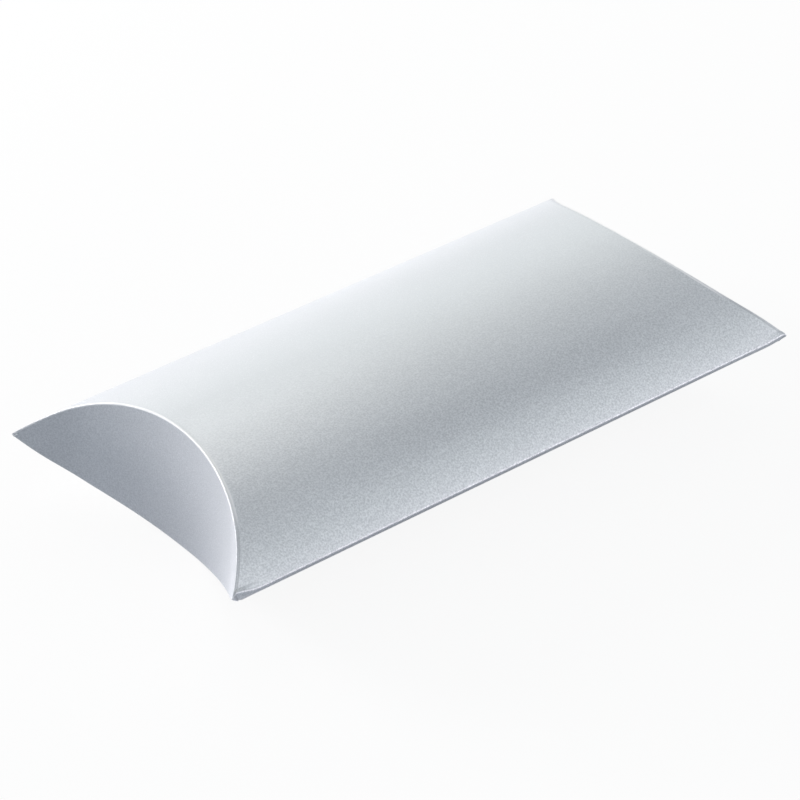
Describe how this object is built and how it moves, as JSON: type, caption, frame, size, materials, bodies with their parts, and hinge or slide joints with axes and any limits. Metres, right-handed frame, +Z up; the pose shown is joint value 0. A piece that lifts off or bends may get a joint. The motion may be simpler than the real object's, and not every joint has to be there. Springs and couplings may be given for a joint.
{
  "type": "pillow box",
  "caption": "Folded card pillow box with crowned upper and lower panels, scored side folds and curved flaps that close both ends.",
  "frame": {"origin": "centre of the box's footprint, on the surface that it rests on", "axes": "+X along the box's length towards its rear end, +Y towards the glued long edge, +Z up through the crown of the upper panel"},
  "size_m": [0.1914, 0.1, 0.039],
  "materials": {
    "pearl_card": "pearlescent silver-white coated card, softly satin outside and matt white inside",
    "glue_film": "dried white glue, dull"
  },
  "bodies": {
    "box": {"upper_panel": "pearl_card", "lower_panel": "pearl_card", "side_fold": "pearl_card", "glue_tab_fold": "pearl_card", "glue_tab": "pearl_card", "seam_glue": "glue_film", "front_outer_crease": "pearl_card", "front_inner_crease": "pearl_card", "rear_outer_crease": "pearl_card", "rear_inner_crease": "pearl_card"},
    "front_outer": {"front_outer_flap": "pearl_card"},
    "front_inner": {"front_inner_flap": "pearl_card"},
    "rear_outer": {"rear_outer_flap": "pearl_card"},
    "rear_inner": {"rear_inner_flap": "pearl_card"}
  },
  "joints": [
    {"name": "front_outer_fold", "type": "hinge", "parent": "box", "child": "front_outer", "pos_m": [-0.0758, 0, 0.039], "axis": [0, 1, 0], "range_deg": [0, 120]},
    {"name": "front_inner_fold", "type": "hinge", "parent": "box", "child": "front_inner", "pos_m": [-0.0751, 0, 0], "axis": [0, -1, 0], "range_deg": [0, 80]},
    {"name": "rear_outer_fold", "type": "hinge", "parent": "box", "child": "rear_outer", "pos_m": [0.0758, 0, 0.039], "axis": [0, -1, 0], "range_deg": [0, 120]},
    {"name": "rear_inner_fold", "type": "hinge", "parent": "box", "child": "rear_inner", "pos_m": [0.0751, 0, 0], "axis": [0, 1, 0], "range_deg": [0, 80]}
  ],
  "couplings": [
    {"joint": "front_inner_fold", "follows": "front_outer_fold", "ratio": 0.6666},
    {"joint": "rear_inner_fold", "follows": "rear_outer_fold", "ratio": 0.6666}
  ]
}
